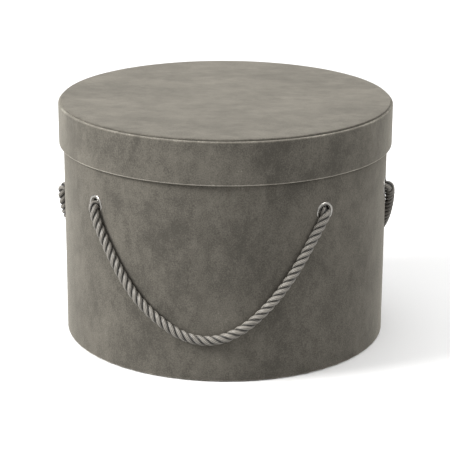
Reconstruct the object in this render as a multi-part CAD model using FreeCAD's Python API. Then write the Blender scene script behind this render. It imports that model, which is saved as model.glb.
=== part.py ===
import FreeCAD, Part
import math
import os

# Round hat box with a lift-off lid and two rope handles. Millimetres, +Z up.
# The origin is the centre of the base, on the surface that the box stands on.
# An azimuth is in degrees from the front (-Y) towards +X.

# Overall
BODY_RADIUS = 155.5
LID_RADIUS = 160.0
TOTAL_HEIGHT = 230.0
LID_BAND_BOTTOM = 187.8

# Sheet materials
VELVET = 1.0
WALL_BOARD = 2.5
LID_BOARD = 2.0
PANEL_CARD = 1.0
PANEL_VELVET = 0.8
WALL_LINING = 0.4
BAND_LINING = 0.5
BASE_PAPER = 0.6
FLOOR_CARD = 1.5
TURN_IN = 0.8
LINING_GAP = 0.1

# How far the cloth is turned over an edge
BASE_TURN = 16.5
RIM_TURN = 12.5
LID_TOP_TURN = 15.0
BAND_TURN = 12.2
BASE_PAPER_MARGIN = 5.5
FOLD_RADIUS = 1.5
EDGE_ROUNDING = 0.9
TURN_IN_ROUNDING = 0.5

# Lid
PANEL_INSET = 2.2
LID_GAP = 0.3
BAND_GAP = 0.7

# Rope and its eyelets
ROPE_RADIUS = 4.7
HOLE_RADIUS = 5.5
BARREL_RADIUS = 6.2
FLANGE_RADIUS = 9.0
FLANGE_HEIGHT = 0.8
FLANGE_ROLL = 1.7
MOUTH_RISE = 0.1
BARREL_GAP = 0.05
FLARE_THICKNESS = 0.3
FLARE_WIDTH = 1.4
WASHER_THICKNESS = 0.8
WASHER_GAP = 0.3
ROPE_GAP = 0.9
KNOT_RADIUS = 13.0
KNOT_LENGTH = 22.0
KNOT_ROUNDING = 7.0
KNOT_GAP = 0.3
TAIL_LENGTH = 28.0
TAIL_DROP_DEG = 65.0
WHIPPING_LENGTH = 7.0
WHIPPING_THICKNESS = 0.8

# The four eyelets, as (azimuth, height). They were set by hand, so their heights differ.
EYELETS = {
    "front_left": (-42.5, 152.6),
    "front_right": (42.5, 155.0),
    "side_left": (273.5, 135.5),
    "side_right": (85.5, 150.5),
}

# Rope routes: azimuth in degrees and height, all at ROPE_PATH_RADIUS.
FRONT_ROUTE = [
    (-42.5, 152.6), (-41.4, 147.4), (-39.2, 137.0), (-34.9, 118.4), (-29.4, 95.6), (-22.6, 73.4),
    (-14.2, 55.6), (-4.9, 42.2), (4.8, 41.2), (13.8, 53.4), (21.4, 72.6), (28.0, 94.2),
    (33.5, 116.8), (38.2, 137.0), (41.3, 149.0), (42.5, 155.0),
]
BACK_ROUTE = [
    (85.5, 150.5), (87.0, 145.0), (90.0, 138.4), (93.4, 130.2), (98.1, 120.4), (103.2, 109.6),
    (108.8, 98.2), (115.2, 87.6), (122.2, 78.2), (130.0, 69.8), (138.5, 62.6), (147.5, 56.4),
    (157.0, 51.4), (166.5, 47.6), (176.0, 45.0), (185.5, 43.6), (195.0, 43.4), (204.5, 44.6),
    (214.0, 47.4), (223.0, 51.6), (231.5, 57.0), (239.5, 63.6), (247.0, 71.8), (253.8, 81.2),
    (260.0, 91.4), (265.4, 101.6), (269.6, 111.6), (272.2, 121.6), (273.1, 130.0), (273.5, 135.5),
]

# Worked out from the sizes above
WALL_OUTER = BODY_RADIUS - VELVET
WALL_INNER = WALL_OUTER - WALL_BOARD
LINING_INNER = WALL_INNER - WALL_LINING
WALL_BOTTOM = BASE_PAPER + VELVET
FLOOR_TOP = WALL_BOTTOM + WALL_BOARD
FOLD_TOP = TOTAL_HEIGHT - PANEL_VELVET - PANEL_CARD
LID_BOARD_TOP = FOLD_TOP - VELVET
LID_BOARD_BOTTOM = LID_BOARD_TOP - LID_BOARD
LID_CEILING = LID_BOARD_BOTTOM - WALL_LINING
RIM_TOP = LID_CEILING - LID_GAP
BAND_OUTER = LID_RADIUS - VELVET
BAND_INNER = BAND_OUTER - LID_BOARD
BAND_BOARD_BOTTOM = LID_BAND_BOTTOM + VELVET
BAND_TURN_TOP = LID_BAND_BOTTOM + BAND_TURN
PANEL_RADIUS = LID_RADIUS - PANEL_INSET
ROPE_PATH_RADIUS = BODY_RADIUS + FLANGE_HEIGHT + ROPE_GAP + ROPE_RADIUS
WASHER_FACE = LINING_INNER - WASHER_GAP
BARREL_END = WASHER_FACE - WASHER_THICKNESS
STUB_OUTER = ROPE_PATH_RADIUS - ROPE_RADIUS - ROPE_GAP
KNOT_OUTER = BARREL_END - FLARE_THICKNESS - KNOT_GAP


def ring(outer, inner, bottom, top):
    """A plain tube about the box's axis."""
    base = FreeCAD.Vector(0, 0, bottom)
    tube = Part.makeCylinder(outer, top - bottom, base)
    return tube.cut(Part.makeCylinder(inner, top - bottom, base))


def disc(radius, bottom, top):
    """A plain disc about the box's axis."""
    return Part.makeCylinder(radius, top - bottom, FreeCAD.Vector(0, 0, bottom))


def turned(outline):
    """The outline, given as (radius, height), turned about the box's axis."""
    points = [FreeCAD.Vector(radius, 0, height) for radius, height in outline]
    face = Part.Face(Part.makePolygon(points + points[:1]))
    return face.revolve(FreeCAD.Vector(0, 0, 0), FreeCAD.Vector(0, 0, 1), 360)


def circular_edges(shape, radius, height):
    """The edges that run round the axis at this radius and height."""
    found = []
    for edge in shape.Edges:
        if not isinstance(edge.Curve, Part.Circle):
            continue
        same_radius = abs(edge.Curve.Radius - radius) < 0.01
        same_height = abs(edge.Curve.Center.z - height) < 0.01
        if same_radius and same_height:
            found.append(edge)
    return found


def rounded(shape, corners):
    """The shape with each (radius, height, rounding) corner rounded."""
    for radius, height, rounding in corners:
        shape = shape.makeFillet(rounding, circular_edges(shape, radius, height))
    return shape


def facing(shape, azimuth, height):
    """A shape made along +X at height 0, moved to face an azimuth at a height."""
    moved = shape.copy()
    moved.rotate(FreeCAD.Vector(0, 0, 0), FreeCAD.Vector(0, 0, 1), azimuth - 90)
    moved.translate(FreeCAD.Vector(0, 0, height))
    return moved


def pierced(shape):
    """The shape with the four eyelet holes cut through it."""
    inside = FreeCAD.Vector(KNOT_OUTER, 0, 0)
    drill = Part.makeCylinder(BARREL_RADIUS + BARREL_GAP, LID_RADIUS - KNOT_OUTER, inside, FreeCAD.Vector(1, 0, 0))
    for azimuth, height in EYELETS.values():
        shape = shape.cut(facing(drill, azimuth, height))
    return shape


def wall_board():
    return pierced(ring(WALL_OUTER, WALL_INNER, WALL_BOTTOM, RIM_TOP - VELVET))


def wall_velvet():
    """Cloth on the wall, turned under the base and over the rim."""
    turn_inner = WALL_INNER - TURN_IN
    turn_bottom = RIM_TOP - RIM_TURN
    cloth = turned([
        (BODY_RADIUS - BASE_TURN, BASE_PAPER), (BODY_RADIUS, BASE_PAPER), (BODY_RADIUS, RIM_TOP),
        (turn_inner, RIM_TOP), (turn_inner, turn_bottom), (WALL_INNER, turn_bottom),
        (WALL_INNER, RIM_TOP - VELVET), (WALL_OUTER, RIM_TOP - VELVET), (WALL_OUTER, WALL_BOTTOM),
        (BODY_RADIUS - BASE_TURN, WALL_BOTTOM),
    ])
    cloth = rounded(cloth, [(BODY_RADIUS, BASE_PAPER, EDGE_ROUNDING), (BODY_RADIUS, RIM_TOP, EDGE_ROUNDING)])
    return pierced(cloth)


def wall_lining():
    return pierced(ring(WALL_INNER, LINING_INNER, FLOOR_TOP, RIM_TOP - RIM_TURN))


def lid_cover():
    """Cloth on the lid's band, turned over the lid's top board and up inside the band."""
    turn_inner = BODY_RADIUS + BAND_GAP
    cloth = turned([
        (LID_RADIUS - LID_TOP_TURN, LID_BOARD_TOP), (BAND_OUTER, LID_BOARD_TOP),
        (BAND_OUTER, BAND_BOARD_BOTTOM), (BAND_INNER, BAND_BOARD_BOTTOM), (BAND_INNER, BAND_TURN_TOP),
        (turn_inner, BAND_TURN_TOP), (turn_inner, LID_BAND_BOTTOM), (LID_RADIUS, LID_BAND_BOTTOM),
        (LID_RADIUS, FOLD_TOP), (LID_RADIUS - LID_TOP_TURN, FOLD_TOP),
    ])
    return rounded(cloth, [
        (LID_RADIUS, FOLD_TOP, FOLD_RADIUS), (LID_RADIUS, LID_BAND_BOTTOM, EDGE_ROUNDING),
        (turn_inner, LID_BAND_BOTTOM, TURN_IN_ROUNDING),
    ])


def lid_panel_velvet():
    """Cloth on the disc that closes the lid's top, down round the disc's edge."""
    edge = PANEL_RADIUS - VELVET
    card_top = TOTAL_HEIGHT - PANEL_VELVET
    cloth = turned([
        (0, card_top), (edge, card_top), (edge, FOLD_TOP), (PANEL_RADIUS, FOLD_TOP),
        (PANEL_RADIUS, TOTAL_HEIGHT), (0, TOTAL_HEIGHT),
    ])
    return rounded(cloth, [(PANEL_RADIUS, TOTAL_HEIGHT, EDGE_ROUNDING)])


def eyelet():
    """A flanged eyelet along +X, set through the wall and flared over its washer."""
    crown = BODY_RADIUS + FLANGE_HEIGHT
    crown_radius = FLANGE_RADIUS - FLANGE_ROLL
    mouth = BODY_RADIUS + MOUTH_RISE
    flare = BARREL_END - FLARE_THICKNESS
    flare_radius = BARREL_RADIUS + FLARE_WIDTH

    def at(distance, radius):
        return FreeCAD.Vector(distance, 0, radius)

    outer_roll = Part.Arc(
        at(BODY_RADIUS, FLANGE_RADIUS),
        at(crown - FLANGE_HEIGHT * 0.25, FLANGE_RADIUS - FLANGE_ROLL * 0.3),
        at(crown, crown_radius),
    )
    inner_roll = Part.Arc(
        at(crown, crown_radius),
        at(crown - FLANGE_HEIGHT * 0.2, HOLE_RADIUS + FLANGE_ROLL * 0.3),
        at(mouth, HOLE_RADIUS),
    )
    corners = [
        at(mouth, HOLE_RADIUS), at(flare, HOLE_RADIUS), at(flare, flare_radius), at(BARREL_END, flare_radius),
        at(BARREL_END, BARREL_RADIUS), at(BODY_RADIUS, BARREL_RADIUS), at(BODY_RADIUS, FLANGE_RADIUS),
    ]
    edges = [outer_roll.toShape(), inner_roll.toShape()] + Part.makePolygon(corners).Edges
    return Part.Face(Part.Wire(edges)).revolve(FreeCAD.Vector(0, 0, 0), FreeCAD.Vector(1, 0, 0), 360)


def washer():
    """The flat washer behind an eyelet, along +X."""
    start = FreeCAD.Vector(BARREL_END, 0, 0)
    plate = Part.makeCylinder(FLANGE_RADIUS, WASHER_THICKNESS, start, FreeCAD.Vector(1, 0, 0))
    hole = BARREL_RADIUS + BARREL_GAP
    return plate.cut(Part.makeCylinder(hole, WASHER_THICKNESS, start, FreeCAD.Vector(1, 0, 0)))


def knot():
    """The lump of a stopper knot, along +X."""
    start = FreeCAD.Vector(KNOT_OUTER - KNOT_LENGTH, 0, 0)
    lump = Part.makeCylinder(KNOT_RADIUS, KNOT_LENGTH, start, FreeCAD.Vector(1, 0, 0))
    rims = [edge for edge in lump.Edges if isinstance(edge.Curve, Part.Circle)]
    return lump.makeFillet(KNOT_ROUNDING, rims)


def rope_stub():
    """The rope inside an eyelet, from the knot to just outside the wall."""
    start = FreeCAD.Vector(KNOT_OUTER, 0, 0)
    return Part.makeCylinder(ROPE_RADIUS, STUB_OUTER - KNOT_OUTER, start, FreeCAD.Vector(1, 0, 0))


def tail_frame():
    """Where a rope's tail starts, inside the knot, and its direction."""
    slope = math.radians(TAIL_DROP_DEG)
    start = FreeCAD.Vector(KNOT_OUTER - KNOT_LENGTH * 0.75, 0, 0)
    return start, FreeCAD.Vector(-math.cos(slope), 0, -math.sin(slope))


def rope_tail():
    """The rope's free end, down from the knot."""
    start, direction = tail_frame()
    return Part.makeCylinder(ROPE_RADIUS, TAIL_LENGTH + KNOT_RADIUS, start, direction).cut(knot())


def whipping():
    """The thread bound round the rope's free end."""
    start, direction = tail_frame()
    base = start + direction * (TAIL_LENGTH + KNOT_RADIUS - WHIPPING_LENGTH)
    sleeve = Part.makeCylinder(ROPE_RADIUS + WHIPPING_THICKNESS, WHIPPING_LENGTH, base, direction)
    return sleeve.cut(Part.makeCylinder(ROPE_RADIUS, WHIPPING_LENGTH, base, direction))


def route_points(route):
    points = []
    for azimuth, height in route:
        turn = math.radians(azimuth)
        x = ROPE_PATH_RADIUS * math.sin(turn)
        y = -ROPE_PATH_RADIUS * math.cos(turn)
        points.append(FreeCAD.Vector(x, y, height))
    return points


def path_corner(before, corner, after):
    """The tangent arc at a corner of a route, with its two ends and its radius."""
    inward = (before - corner).normalize()
    onward = (after - corner).normalize()
    half_turn = (math.pi - inward.getAngle(onward)) / 2
    reach = 0.45 * min((before - corner).Length, (after - corner).Length)
    radius = reach / math.tan(half_turn)
    bisector = (inward + onward).normalize()
    middle = corner + bisector * (radius / math.cos(half_turn) - radius)
    start = corner + inward * reach
    end = corner + onward * reach
    return start, end, Part.Arc(start, middle, end), radius


def rope_path(points):
    """Straight runs joined by tangent arcs, as one wire, with the arcs' radii."""
    edges = []
    radii = []
    last = points[0]
    for before, corner, after in zip(points, points[1:], points[2:]):
        start, end, arc, radius = path_corner(before, corner, after)
        edges.append(Part.LineSegment(last, start).toShape())
        edges.append(arc.toShape())
        radii.append(radius)
        last = end
    edges.append(Part.LineSegment(last, points[-1]).toShape())
    return Part.Wire(edges), radii


def rounded_end(point, direction):
    """Half a ball on the end of a rope, so that it can turn in front of its eyelet."""
    return Part.makeSphere(ROPE_RADIUS, point, direction, 0, 90, 360)


def rope(name, route):
    """A free rope along its route, with rounded ends. Prints what its bends come to."""
    points = route_points(route)
    wire, radii = rope_path(points)
    first = (points[0] - points[1]).normalize()
    last = (points[-1] - points[-2]).normalize()
    section = Part.Wire([Part.Circle(points[0], first, ROPE_RADIUS).toShape()])
    tube = wire.makePipeShell([section], True, False)
    expected = math.pi * ROPE_RADIUS ** 2 * wire.Length
    print(name, "length", round(wire.Length, 1), "volume over section times length", tube.Volume / expected)
    print(name, "bend radii", [round(radius, 1) for radius in radii])
    return tube.fuse([rounded_end(points[0], first), rounded_end(points[-1], last)])


def box_parts():
    parts = {
        "wall_board": wall_board(),
        "wall_velvet": wall_velvet(),
        "wall_lining": wall_lining(),
        "base_board": disc(WALL_INNER, WALL_BOTTOM, FLOOR_TOP),
        "base_cover": disc(BODY_RADIUS - BASE_PAPER_MARGIN, 0.0, BASE_PAPER),
        "floor_card": disc(LINING_INNER - 0.5, FLOOR_TOP, FLOOR_TOP + FLOOR_CARD),
    }
    fittings = {
        "eyelet": eyelet(),
        "eyelet_washer": washer(),
        "rope_stub": rope_stub(),
        "knot": knot(),
        "rope_tail": rope_tail(),
        "whipping": whipping(),
    }
    for place, (azimuth, height) in EYELETS.items():
        for name, shape in fittings.items():
            parts[name + "_" + place] = facing(shape, azimuth, height)
    return parts


def lid_parts():
    return {
        "lid_band_board": ring(BAND_OUTER, BAND_INNER, BAND_BOARD_BOTTOM, LID_BOARD_BOTTOM),
        "lid_top_board": disc(BAND_OUTER, LID_BOARD_BOTTOM, LID_BOARD_TOP),
        "lid_cover": lid_cover(),
        "lid_panel_card": disc(PANEL_RADIUS - VELVET, FOLD_TOP, TOTAL_HEIGHT - PANEL_VELVET),
        "lid_panel_velvet": lid_panel_velvet(),
        "lid_band_lining": ring(BAND_INNER, BAND_INNER - BAND_LINING, BAND_TURN_TOP, LID_CEILING),
        "lid_top_lining": disc(BAND_INNER - LINING_GAP, LID_CEILING, LID_BOARD_BOTTOM),
    }


def handle_parts():
    return {
        "front_rope": rope("front_rope", FRONT_ROUTE),
        "back_rope": rope("back_rope", BACK_ROUTE),
    }


def main():
    os.makedirs("parts", exist_ok=True)
    parts = {}
    parts.update(box_parts())
    parts.update(lid_parts())
    parts.update(handle_parts())
    for name, shape in parts.items():
        if not shape.isValid() or len(shape.Solids) != 1:
            raise ValueError(name + " is not one valid solid")
        shape.exportStep("parts/" + name + ".step")
    print(len(parts), "parts")


main()
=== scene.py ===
"""Round velvet hat box with a lift-off lid and two twisted rope handles.

Each piece has its own operator. The sizes and colours are in the property groups below.
Metres, +Z up. The origin is the centre of the base. An azimuth is in degrees from the
front (-Y) towards +X.
"""

import math

import bmesh
import bpy
from bpy.props import FloatProperty, FloatVectorProperty, IntProperty, PointerProperty
from bpy.types import Operator, Panel, PropertyGroup
from mathutils import Matrix, Vector


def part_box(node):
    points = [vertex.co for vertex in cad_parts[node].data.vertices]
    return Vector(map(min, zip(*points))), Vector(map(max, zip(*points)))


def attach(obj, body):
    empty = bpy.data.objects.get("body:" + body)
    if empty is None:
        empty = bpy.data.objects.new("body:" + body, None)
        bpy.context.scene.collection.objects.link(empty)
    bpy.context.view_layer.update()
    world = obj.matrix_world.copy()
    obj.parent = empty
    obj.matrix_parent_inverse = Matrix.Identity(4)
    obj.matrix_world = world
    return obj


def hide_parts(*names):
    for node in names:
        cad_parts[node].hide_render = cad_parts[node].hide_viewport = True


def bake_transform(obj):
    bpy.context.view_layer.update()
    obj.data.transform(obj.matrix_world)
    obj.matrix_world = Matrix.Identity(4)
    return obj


bl_info = {
    "name": "Hat Box",
    "version": (1, 0, 0),
    "blender": (4, 5, 0),
    "location": "3D View > Sidebar > Hat Box",
    "description": "Dresses the frame of a round hat box in cloth, paper, rope and metal",
    "category": "Object",
}

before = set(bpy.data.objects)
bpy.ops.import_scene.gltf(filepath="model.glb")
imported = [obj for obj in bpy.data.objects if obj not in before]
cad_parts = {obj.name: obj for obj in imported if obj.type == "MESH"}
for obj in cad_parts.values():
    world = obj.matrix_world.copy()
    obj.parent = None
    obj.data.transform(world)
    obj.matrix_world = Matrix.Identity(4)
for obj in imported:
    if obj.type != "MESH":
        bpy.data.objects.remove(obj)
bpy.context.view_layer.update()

MM = 0.001
SEED = 7.3

# The eyelets, as (azimuth, height).
EYELETS = {
    "front_left": (-42.5, 0.1526),
    "front_right": (42.5, 0.1550),
    "side_left": (273.5, 0.1355),
    "side_right": (85.5, 0.1505),
}

# The holes for the eyelets' barrels, in the wall's cloth and lining
WALL_HOLE = 6.25 * MM

# The handles hang against the wall, at this distance from the box's axis.
ROPE_PATH_RADIUS = 0.1601

# Just outside an eyelet they turn down over its flange, at these distances from the box's axis.
TURN_RADII = (0.1592, 0.1605)

# Each handle's route between its eyelets, as (azimuth, height).
FRONT_ROUTE = [
    (-42.2, 0.1516), (-41.2, 0.1472), (-39.7, 0.1370), (-35.2, 0.1184), (-29.4, 0.0956), (-22.6, 0.0734),
    (-14.2, 0.0556), (-4.9, 0.0422), (4.8, 0.0412), (13.8, 0.0534), (21.4, 0.0726), (28.0, 0.0942),
    (33.5, 0.1168), (37.9, 0.1370), (40.6, 0.1482), (42.1, 0.1543),
]
BACK_ROUTE = [
    (85.5, 0.1516), (87.0, 0.1482), (89.8, 0.1430), (93.2, 0.1354), (96.6, 0.1260), (100.0, 0.1160),
    (103.6, 0.1058), (107.4, 0.0958), (111.6, 0.0864), (116.8, 0.0780), (123.2, 0.0710), (130.6, 0.0652),
    (138.7, 0.0602), (147.5, 0.0556), (157.0, 0.0514), (166.5, 0.0476), (176.0, 0.0450), (185.5, 0.0436),
    (195.0, 0.0434), (204.5, 0.0446), (214.0, 0.0474), (223.0, 0.0516), (231.5, 0.0568), (239.5, 0.0630),
    (246.8, 0.0698), (253.2, 0.0768), (258.8, 0.0846), (263.4, 0.0936), (266.8, 0.1032), (269.8, 0.1130),
    (271.8, 0.1226), (272.6, 0.1306), (273.2, 0.1364),
]

# Where a rope runs through its eyelet: distance from the box's axis, and how far it has come from the
# middle of the hole to its route's first height.
THROUGH_EYELET = ((0.1335, 0.0), (0.1400, 0.0), (0.1465, 0.1), (0.1525, 0.3), (0.1570, 0.7))

# A stopper knot round the rope, as (distance from the axis, sideways, up), after its coil.
KNOT_EXIT = [
    (0.1300, -0.0030, -0.0022), (0.1268, -0.0006, -0.0068), (0.1242, 0.0004, -0.0125),
    (0.1215, 0.0006, -0.0190), (0.1188, 0.0004, -0.0255), (0.1163, 0.0, -0.0318), (0.1148, 0.0, -0.0352),
]


def linear(code):
    """An sRGB hex colour as linear light."""
    values = [int(code[i:i + 2], 16) / 255 for i in (1, 3, 5)]
    return tuple(v / 12.92 if v <= 0.04045 else ((v + 0.055) / 1.055) ** 2.4 for v in values)


def outer_radius(node):
    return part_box(node)[1].x


def length_property(name, description, default):
    return FloatProperty(
        name=name, description=description, default=default, min=0.0, unit="LENGTH", precision=5
    )


def colour_property(name, description, code):
    return FloatVectorProperty(
        name=name, description=description, default=linear(code), min=0.0, max=1.0, size=3, subtype="COLOR"
    )


class BoxSizes(PropertyGroup):
    body_radius: length_property("Body radius", "Outside of the wall's cloth", outer_radius("wall_velvet"))
    rim_height: length_property("Rim height", "Top of the wall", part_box("wall_velvet")[1].z)
    base_height: length_property("Base height", "Underside of the wall's cloth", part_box("wall_velvet")[0].z)
    lid_radius: length_property("Lid radius", "Outside of the lid's band", outer_radius("lid_cover"))
    lid_height: length_property("Lid height", "Top of the band's cloth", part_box("lid_cover")[1].z)
    band_bottom: length_property("Band bottom", "Lower edge of the lid's band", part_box("lid_cover")[0].z)
    panel_radius: length_property("Panel radius", "Edge of the top panel", outer_radius("lid_panel_velvet"))
    total_height: length_property("Total height", "Top of the lid's panel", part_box("lid_panel_velvet")[1].z)
    cloth: length_property("Cloth", "Thickness of the velvet with its glue", 1.0 * MM)
    wall_board: length_property("Wall board", "Thickness of the wall's board", 2.5 * MM)
    lid_board: length_property("Lid board", "Thickness of the lid's board", 2.0 * MM)
    base_turn: length_property("Turn under", "Cloth turned under the base", 16.5 * MM)
    rim_turn: length_property("Rim turn", "Cloth turned in over the rim", 12.5 * MM)
    top_turn: length_property("Top turn", "Cloth turned over the lid's top board", 15.0 * MM)
    band_turn: length_property("Band turn", "Cloth turned up inside the lid's band", 12.2 * MM)
    lap_width: length_property("Lap width", "Overlap of the cloth at the back seam", 14.0 * MM)
    lap_height: length_property("Lap height", "How far the back seam stands up", 0.45 * MM)
    unevenness: length_property("Unevenness", "Waves in the glued cloth", 0.16 * MM)
    tucks: IntProperty(name="Tucks", description="Small folds in the cloth under the base", default=58, min=0)


class RopeSizes(PropertyGroup):
    diameter: length_property("Diameter", "Width of the laid rope", 9.0 * MM)
    lay: length_property("Lay", "Length of one turn of a strand", 23.5 * MM)
    strand_share: FloatProperty(
        name="Strand share", description="A strand's radius as a share of the rope's",
        default=0.478, min=0.3, max=0.6,
    )
    front_length: length_property("Front length", "Front rope between its knots", 0.388)
    back_length: length_property("Back length", "Rear rope between its knots", 0.638)
    coil_radius: length_property("Coil radius", "Line of the rope in a stopper knot", 8.5 * MM)
    coil_turns: FloatProperty(
        name="Coil turns", description="Turns in a stopper knot", default=1.9, min=1, max=4
    )
    knot_squeeze: FloatProperty(
        name="Knot squeeze", description="The rope's share of its width when pulled tight",
        default=0.92, min=0.5, max=1,
    )
    thread: length_property("Thread", "Diameter of the whipping thread", 0.75 * MM)
    whipping: length_property("Whipping", "Length bound with thread", 7.0 * MM)


class EyeletSizes(PropertyGroup):
    hole: length_property("Hole radius", "Inside of the barrel", 5.5 * MM)
    lip: length_property("Lip", "Width of the dark mouth inside the flange", 1.1 * MM)
    flange: length_property("Flange radius", "Outside of the flange", 9.0 * MM)
    rise: length_property("Flange rise", "Height of the flange on the cloth", 0.8 * MM)
    barrel: length_property("Barrel length", "From the flange to the flared end", 5.3 * MM)
    metal: length_property("Metal", "Thickness of the barrel", 0.7 * MM)


class Finishes(PropertyGroup):
    velvet: colour_property("Velvet", "Ground of the velvet's pile", "#4f4c46")
    velvet_light: colour_property("Velvet light", "Pile brushed the other way", "#6c6860")
    # Painted highlight: the pale colour painted along the folded edges of the cloth.
    velvet_fold_highlight: colour_property("Velvet fold", "Painted highlight along a fold", "#b5b0a5")
    velvet_sheen: colour_property("Velvet sheen", "Tips of the pile at a low angle", "#d9d4c8")
    rope: colour_property("Rope", "Yarn of the rope", "#aaa59c")
    # Painted shade: the two colours below are painted into the hollows between the yarns and the grooves
    # between the strands.
    rope_shade: colour_property("Rope shade", "Painted shade between the yarns", "#4f4b45")
    rope_groove_shade: colour_property("Rope groove", "Painted shade between the strands", "#211f1c")
    thread: colour_property("Thread", "Waxed whipping thread", "#5c564f")
    nickel: colour_property("Nickel", "Plated eyelets", "#c9c6c0")
    board: colour_property("Board", "Grey board", "#8f8b84")
    card: colour_property("Card", "Panel and floor card", "#b4aea3")
    lining: colour_property("Lining", "Lining paper", "#cfc8bb")
    base_paper: colour_property("Base paper", "Paper under the base", "#4f4b47")
    floor: colour_property("Floor", "Studio floor as the camera sees it", "#fbfbfb")
    floor_bounce: colour_property("Floor bounce", "Studio floor as it lights the box", "#b4b4b4")


class CameraSizes(PropertyGroup):
    distance: length_property("Distance", "From the camera to what it looks at", 1.706)
    aim_height: length_property("Aim height", "Height of what it looks at", 0.10055)
    azimuth: FloatProperty(name="Azimuth", description="Degrees from the front", default=7.15)
    elevation: FloatProperty(name="Elevation", description="Degrees above the horizon", default=17.97)
    roll: FloatProperty(name="Roll", description="Degrees that its right side is raised", default=0.267)
    lens: FloatProperty(name="Lens", description="Focal length in millimetres", default=139.06, min=1)


def sizes():
    return bpy.context.scene.hatbox_sizes


def rope_sizes():
    return bpy.context.scene.hatbox_rope


def finishes():
    return bpy.context.scene.hatbox_finishes


# Places and lines


def place(azimuth, height, radius):
    """The point at this azimuth, height and distance from the box's axis."""
    turn = math.radians(azimuth)
    return Vector((radius * math.sin(turn), -radius * math.cos(turn), height))


def facing(azimuth, height):
    """Turns what is made along +X at height 0 to face an azimuth at a height."""
    return Matrix.Translation((0, 0, height)) @ Matrix.Rotation(math.radians(azimuth - 90), 4, "Z")


def spline_points(points):
    """Points along the smooth spline that has these as its control points."""
    curve = bpy.data.curves.new("line", "CURVE")
    curve.dimensions = "3D"
    curve.resolution_u = 24
    spline = curve.splines.new("NURBS")
    spline.points.add(len(points) - 1)
    for control, point in zip(spline.points, points):
        control.co = (point[0], point[1], point[2], 1.0)
    spline.order_u = 3
    spline.use_endpoint_u = True
    holder = bpy.data.objects.new("line", curve)
    bpy.context.scene.collection.objects.link(holder)
    bpy.context.view_layer.update()
    line = bpy.data.meshes.new_from_object(holder.evaluated_get(bpy.context.evaluated_depsgraph_get()))
    found = [vertex.co.copy() for vertex in line.vertices]
    bpy.data.objects.remove(holder)
    bpy.data.curves.remove(curve)
    bpy.data.meshes.remove(line)
    return found


def even_points(points, step):
    """The same line with its points about one step apart."""
    along = [0.0]
    for here, following in zip(points, points[1:]):
        along.append(along[-1] + (following - here).length)
    count = max(2, round(along[-1] / step))
    found = []
    run = 0
    for i in range(count + 1):
        distance = along[-1] * i / count
        while run < len(points) - 2 and along[run + 1] < distance:
            run += 1
        share = (distance - along[run]) / (along[run + 1] - along[run])
        found.append(points[run].lerp(points[run + 1], share))
    return found


def directions(points):
    """The direction of the line at each of its points."""
    found = []
    for i in range(len(points)):
        before = points[max(i - 1, 0)]
        after = points[min(i + 1, len(points) - 1)]
        found.append((after - before).normalized())
    return found


def sideways(points):
    """A direction across the line at each point, carried along without twisting."""
    along = directions(points)
    across = along[0].orthogonal().normalized()
    found = [across]
    for before, after in zip(along, along[1:]):
        across = before.rotation_difference(after) @ across
        across = (across - after * across.dot(after)).normalized()
        found.append(across)
    return along, found


# Meshes


def new_piece(name, mesh, material, body=None):
    """Puts a mesh in the scene as a piece with its material and slot, riding on a body."""
    piece = bpy.data.objects.new(name, mesh)
    bpy.context.scene.collection.objects.link(piece)
    mesh.materials.clear()
    mesh.materials.append(material)
    if body:
        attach(piece, body)
    return piece


def face_outwards(mesh):
    """Welds a closed shell and points its faces outwards."""
    shell = bmesh.new()
    shell.from_mesh(mesh)
    bmesh.ops.remove_doubles(shell, verts=shell.verts, dist=0.002 * MM)
    bmesh.ops.recalc_face_normals(shell, faces=shell.faces)
    shell.to_mesh(mesh)
    shell.free()
    for polygon in mesh.polygons:
        polygon.use_smooth = True
    return mesh


ROPE_STEP = 0.85 * MM
STRANDS = 3
STRAND_SIDES = 18
CORNER_STEPS = 5


def strand_skin(points, strand, radius, offset, lay):
    """The points round one strand of a rope, ring after ring along the rope's line."""
    along, across = sideways(points)
    step = (points[1] - points[0]).length
    skin = []
    for i, point in enumerate(points):
        angle = math.tau * (i * step / lay + strand / STRANDS)
        side = along[i].cross(across[i])
        outward = across[i] * math.cos(angle) + side * math.sin(angle)
        onward = side * math.cos(angle) - across[i] * math.sin(angle)
        heading = (along[i] + onward * (math.tau * offset / lay)).normalized()
        other = heading.cross(outward)
        centre = point + outward * offset
        for k in range(STRAND_SIDES):
            turn = math.pi + math.tau * k / STRAND_SIDES
            skin.append(centre + outward * (radius * math.cos(turn)) + other * (radius * math.sin(turn)))
    return skin


def strand_faces(first, rings, rise):
    """A strand's faces and their UV corners, from its first point, its rings and the UV rise between them."""
    faces = []
    corners = []
    for i in range(rings - 1):
        here = first + i * STRAND_SIDES
        above = here + STRAND_SIDES
        low = i * rise
        high = (i + 1) * rise
        for k in range(STRAND_SIDES):
            following = (k + 1) % STRAND_SIDES
            faces.append((here + k, here + following, above + following, above + k))
            left = k / STRAND_SIDES
            right = (k + 1) / STRAND_SIDES
            corners.extend([(left, low), (right, low), (right, high), (left, high)])
    last = first + (rings - 1) * STRAND_SIDES
    faces.append(tuple(first + k for k in reversed(range(STRAND_SIDES))))
    faces.append(tuple(last + k for k in range(STRAND_SIDES)))
    corners.extend([(0.5, 0.0)] * (2 * STRAND_SIDES))
    return faces, corners


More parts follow.
